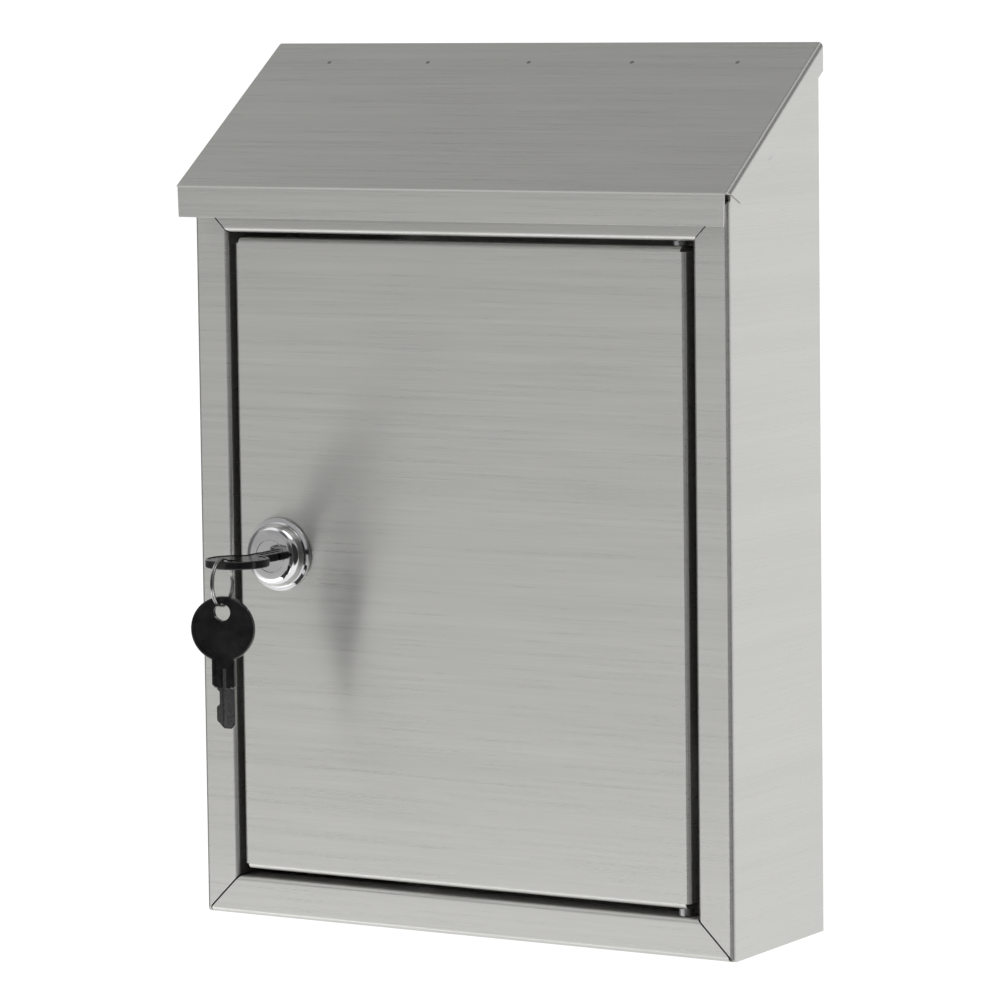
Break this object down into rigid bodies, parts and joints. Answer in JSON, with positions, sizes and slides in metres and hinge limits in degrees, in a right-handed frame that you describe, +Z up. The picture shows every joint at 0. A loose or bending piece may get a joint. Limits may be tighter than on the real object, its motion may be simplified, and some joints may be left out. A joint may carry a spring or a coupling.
{
  "type": "wall mounted mailbox",
  "caption": "Folded stainless steel wall mailbox with a sloping hinged lid over the letter slot and a front door with a cam lock and keys on a ring.",
  "frame": {"origin": "on the wall plane, at the middle of the back panel's width, 172 mm above the underside", "axes": "+Y into the wall, +X to the right of a person facing the box, +Z up"},
  "size_m": [0.249, 0.1263, 0.3459],
  "materials": {
    "stainless": "horizontal brushed grain, satin",
    "hardware": "plain bright steel",
    "lock_chrome": "polished chrome",
    "key_metal": "nickel plated, lightly worn",
    "key_plastic": "black moulded plastic, semi-gloss"
  },
  "bodies": {
    "box": {"back_panel": "stainless", "left_side_panel": "stainless", "right_side_panel": "stainless", "bottom_panel": "stainless", "header_rail": "stainless", "hinge_body_leaf": "hardware", "hinge_pin": "hardware", "door_pivot_upper": "hardware", "door_pivot_lower": "hardware", "side_rivet_left": "hardware", "side_rivet_right": "hardware"},
    "lid": {"lid_sheet": "stainless", "hinge_lid_leaf": "hardware"},
    "door": {"door_sheet": "stainless", "lock_housing": "lock_chrome", "lock_nut": "hardware"},
    "lock_plug": {"lock_plug": "lock_chrome", "lock_cam": "hardware", "cam_nut": "hardware"},
    "key": {"key_blade": "key_metal", "key_head": "key_plastic"},
    "key_ring": {"key_ring": "key_metal"},
    "spare_key": {"spare_key_blade": "key_metal", "spare_key_head": "key_plastic"}
  },
  "joints": [
    {"name": "lid_hinge", "type": "hinge", "parent": "box", "child": "lid", "pos_m": [0, -0.0031, 0.1715], "axis": [-1, 0, 0], "range_deg": [0, 120]},
    {"name": "door_hinge", "type": "hinge", "parent": "box", "child": "door", "pos_m": [0.097, -0.0695, -0.02775], "axis": [0, 0, 1], "range_deg": [0, 110]},
    {"name": "lock_turn", "type": "hinge", "parent": "door", "child": "lock_plug", "pos_m": [-0.082, -0.074, -0.026], "axis": [0, 1, 0], "range_deg": [0, 90]},
    {"name": "key_pull", "type": "slide", "parent": "lock_plug", "child": "key", "axis": [0, -1, 0], "range_m": [0, 0.022]},
    {"name": "ring_turn", "type": "hinge", "parent": "key", "child": "key_ring", "pos_m": [-0.082, -0.11037, -0.026], "axis": [0, 0, 1], "range_deg": [-20, 20]},
    {"name": "spare_swing", "type": "hinge", "parent": "key_ring", "child": "spare_key", "pos_m": [-0.08112, -0.11662, -0.04165], "axis": [-0.1392, 0.9903, 0], "range_deg": [-75, 75]}
  ]
}
